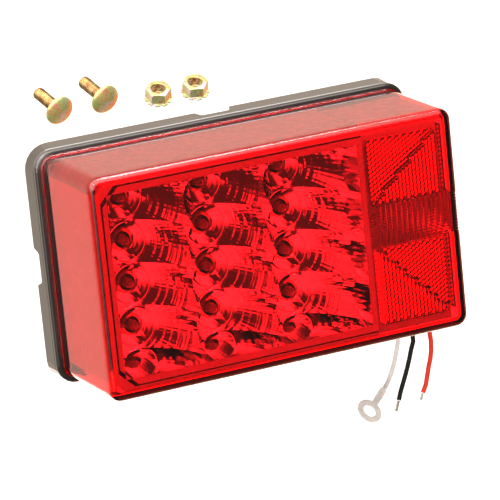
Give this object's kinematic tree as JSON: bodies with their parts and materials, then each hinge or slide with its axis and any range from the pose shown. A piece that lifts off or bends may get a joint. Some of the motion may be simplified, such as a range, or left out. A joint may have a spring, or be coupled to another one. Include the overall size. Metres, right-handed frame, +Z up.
{
  "type": "trailer tail light",
  "caption": "Boxy red combination tail light for a trailer's kerb side, with dished reflectors behind a deep lens, a black base, pigtail wires and sliding mounting bolts.",
  "frame": {"origin": "centre of the mounting face at the back of the base, on its centre pad", "axes": "+Y out of the mounting face into the trailer, -Y the side that traffic sees, +X the kerb side, +Z up"},
  "size_m": [0.2078, 0.0846, 0.1713],
  "materials": {
    "red_lens": "clear red polycarbonate, polished",
    "red_prism": "clear red acrylic with cube-corner prisms",
    "black_plastic": "moulded black ABS, semi-gloss",
    "seal_rubber": "soft black silicone",
    "grommet_rubber": "black rubber",
    "silvered_plastic": "vacuum-metallised plastic, mirror bright",
    "circuit_board": "green solder mask on glass fibre",
    "led_resin": "tinted clear epoxy",
    "resistor_body": "beige lacquered ceramic",
    "diode_body": "black epoxy",
    "bright_steel": "zinc-plated steel",
    "yellow_zinc": "yellow chromate over zinc, iridescent",
    "tinned_copper": "tin-plated copper, satin",
    "copper_strand": "tinned stranded copper",
    "white_vinyl": "white PVC insulation",
    "black_vinyl": "black PVC insulation",
    "red_vinyl": "red PVC insulation"
  },
  "bodies": {
    "light": {"bare_end_black": "copper_strand", "bare_end_red": "copper_strand", "base_housing": "black_plastic", "board_screw_1": "bright_steel", "board_screw_2": "bright_steel", "board_screw_3": "bright_steel", "board_screw_4": "bright_steel", "diode_1": "diode_body", "diode_2": "diode_body", "led_01": "led_resin", "led_02": "led_resin", "led_03": "led_resin", "led_04": "led_resin", "led_05": "led_resin", "led_06": "led_resin", "led_07": "led_resin", "led_08": "led_resin", "led_09": "led_resin", "led_10": "led_resin", "led_11": "led_resin", "led_12": "led_resin", "lens": "red_lens", "lens_seal": "seal_rubber", "lower_reflex_reflector": "red_prism", "main_circuit_board": "circuit_board", "reflector": "silvered_plastic", "resistor_1": "resistor_body", "resistor_2": "resistor_body", "resistor_3": "resistor_body", "resistor_4": "resistor_body", "ring_terminal": "tinned_copper", "side_circuit_board": "circuit_board", "side_lead_1": "red_vinyl", "side_lead_2": "black_vinyl", "side_marker_led_1": "led_resin", "side_marker_led_2": "led_resin", "upper_reflex_reflector": "red_prism", "wire_black": "black_vinyl", "wire_grommet": "grommet_rubber", "wire_red": "red_vinyl", "wire_white": "white_vinyl"},
    "bolt_left": {"carriage_bolt_left": "yellow_zinc"},
    "washer_left": {"lock_washer_left": "yellow_zinc"},
    "nut_left": {"lock_nut_left": "yellow_zinc"},
    "bolt_right": {"carriage_bolt_right": "yellow_zinc"},
    "washer_right": {"lock_washer_right": "yellow_zinc"},
    "nut_right": {"lock_nut_right": "yellow_zinc"}
  },
  "joints": [
    {"name": "bolt_left_slide", "type": "slide", "parent": "light", "child": "bolt_left", "axis": [1, 0, 0], "range_m": [-0.014, 0.007]},
    {"name": "washer_left_slide", "type": "slide", "parent": "bolt_left", "child": "washer_left", "axis": [0, 1, 0], "range_m": [0, 0.009]},
    {"name": "nut_left_turn", "type": "hinge", "parent": "washer_left", "child": "nut_left", "pos_m": [-0.0254, 0.0043, 0], "axis": [0, 1, 0], "range_deg": [0, 2520]},
    {"name": "bolt_right_slide", "type": "slide", "parent": "light", "child": "bolt_right", "axis": [1, 0, 0], "range_m": [-0.007, 0.014]},
    {"name": "washer_right_slide", "type": "slide", "parent": "bolt_right", "child": "washer_right", "axis": [0, 1, 0], "range_m": [0, 0.009]},
    {"name": "nut_right_turn", "type": "hinge", "parent": "washer_right", "child": "nut_right", "pos_m": [0.0254, 0.0043, 0], "axis": [0, 1, 0], "range_deg": [0, 2520]}
  ],
  "couplings": [
    {"joint": "washer_left_slide", "follows": "nut_left_turn", "m_per_rad": 0.00020213},
    {"joint": "washer_right_slide", "follows": "nut_right_turn", "m_per_rad": 0.00020213}
  ]
}
